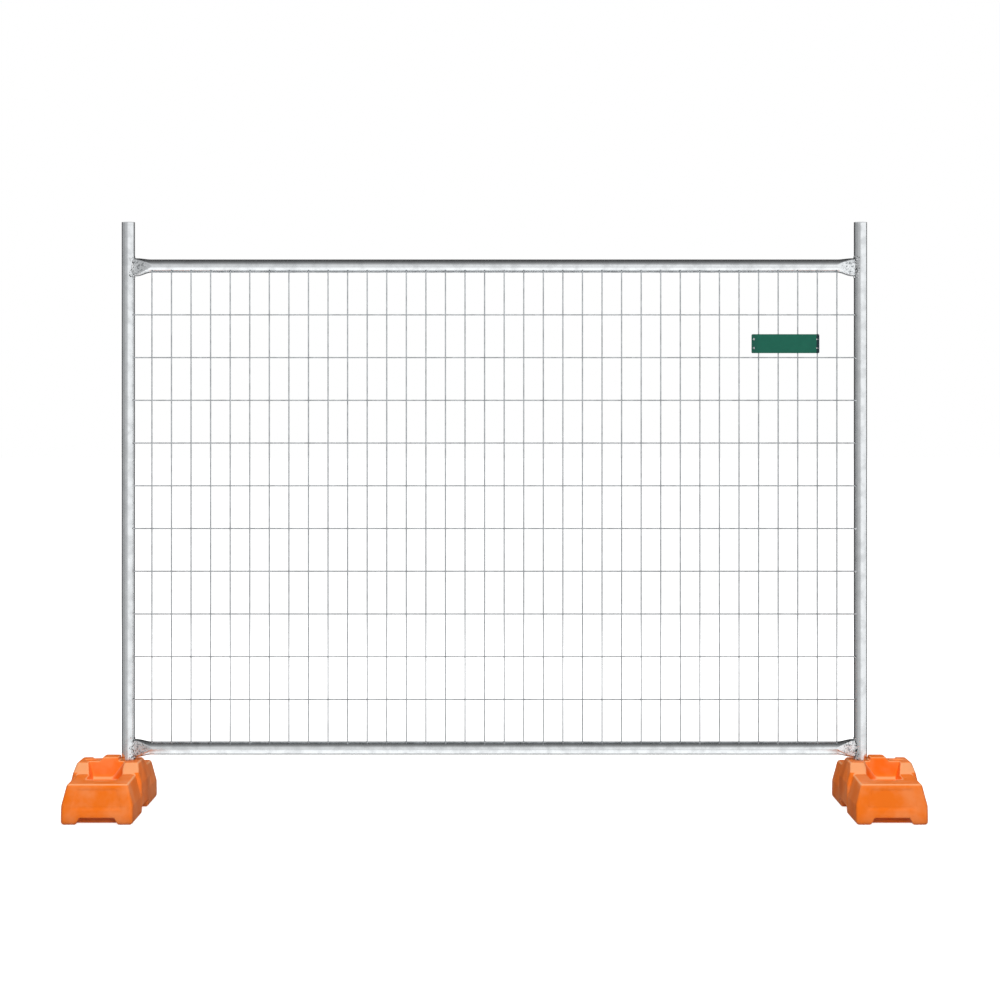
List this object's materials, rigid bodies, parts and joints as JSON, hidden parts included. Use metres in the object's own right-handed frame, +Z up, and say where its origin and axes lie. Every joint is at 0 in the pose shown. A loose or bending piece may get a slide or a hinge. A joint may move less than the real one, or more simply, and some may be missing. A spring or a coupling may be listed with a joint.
{
  "type": "temporary fence panel with weighted feet",
  "caption": "Free-standing welded mesh fence panel in a galvanised tube frame, on two orange moulded weighted feet, with a small bare green plate.",
  "frame": {"origin": "on the ground, under the middle of the panel", "axes": "+X along the fence, +Z up, -Y towards the side that carries the plate"},
  "size_m": [2.7006, 0.6, 1.894],
  "materials": {
    "galvanised_tube": "bright hot-dip galvanised",
    "zinc_weld": "rough, zinc painted",
    "galvanised_wire": "drawn and galvanised",
    "green_plate": "satin paint, bare",
    "orange_polyethylene": "blow moulded, softly glossy",
    "black_bung": "moulded"
  },
  "bodies": {
    "root": {"left_post": "galvanised_tube", "right_post": "galvanised_tube", "top_rail": "galvanised_tube", "bottom_rail": "galvanised_tube", "weld_top_left": "zinc_weld", "weld_top_right": "zinc_weld", "weld_bottom_left": "zinc_weld", "weld_bottom_right": "zinc_weld", "mesh_1": "galvanised_wire", "mesh_2": "galvanised_wire", "mesh_3": "galvanised_wire", "mesh_4": "galvanised_wire", "sign_plate": "green_plate", "left_foot": "orange_polyethylene", "right_foot": "orange_polyethylene", "left_foot_plug": "black_bung", "right_foot_plug": "black_bung"}
  },
  "joints": []
}
